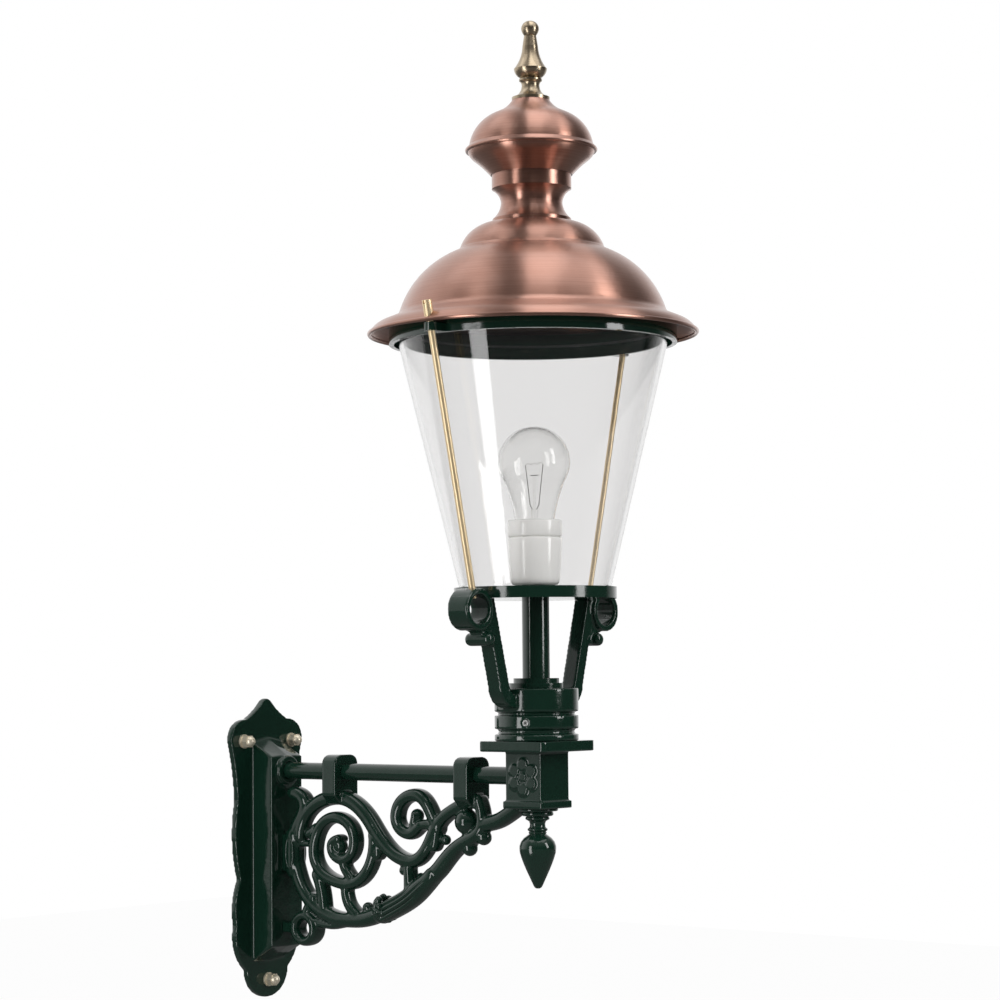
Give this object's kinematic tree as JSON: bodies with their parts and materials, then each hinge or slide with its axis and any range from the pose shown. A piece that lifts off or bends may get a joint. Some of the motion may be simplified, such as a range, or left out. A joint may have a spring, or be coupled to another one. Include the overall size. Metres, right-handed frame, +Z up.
{
  "type": "wall lantern",
  "caption": "Traditional wall lantern: scalloped wall plate and scrolled bracket carrying a conical glass lantern with a domed copper hood and an onion finial, lit by a clear bulb.",
  "frame": {"origin": "midway between the two upper fixing holes, on the wall plane at the back of the wall plate", "axes": "+Y into the wall, +Z up, +X to the right for someone facing the wall"},
  "size_m": [0.2784, 0.4532, 0.8333],
  "materials": {
    "green_paint": "gloss",
    "copper": "satin brushed copper, lacquered",
    "pale_brass": "polished",
    "brass": "satin",
    "steel": "plain",
    "clear_glass": "clear",
    "porcelain": "glazed",
    "gasket_rubber": "matt"
  },
  "bodies": {
    "root": {"wall_plate": "green_paint", "arm_tube": "green_paint", "scroll_bracket": "green_paint", "head_block": "green_paint", "drop_finial": "green_paint", "lantern_fork": "green_paint", "stem_tube": "green_paint", "stem_flange": "green_paint", "lower_dish": "green_paint", "upper_ring": "green_paint", "hood_dome": "copper", "hood_neck": "copper", "onion_lower": "copper", "onion_upper": "copper", "top_finial": "pale_brass", "wall_washers": "brass", "wall_cap_nuts": "brass", "tie_rod_left": "brass", "tie_rod_right": "brass", "rod_slotted_nuts": "brass", "holder_nipple": "brass", "holder_sleeve": "brass", "holder_contact": "brass", "arm_lock_nut": "steel", "bracket_screws": "steel", "collar_set_screws": "steel", "dish_nut": "steel", "stem_plug": "steel", "hood_washer": "steel", "hood_nut": "steel", "hood_rod": "steel", "lamp_cap": "steel", "lamp_leads": "steel", "lamp_filament": "steel", "glass_shade": "clear_glass", "lamp_envelope": "clear_glass", "lamp_mount": "clear_glass", "holder_cup": "porcelain", "holder_collar": "porcelain", "lower_gasket": "gasket_rubber", "upper_gasket": "gasket_rubber"}
  },
  "joints": []
}
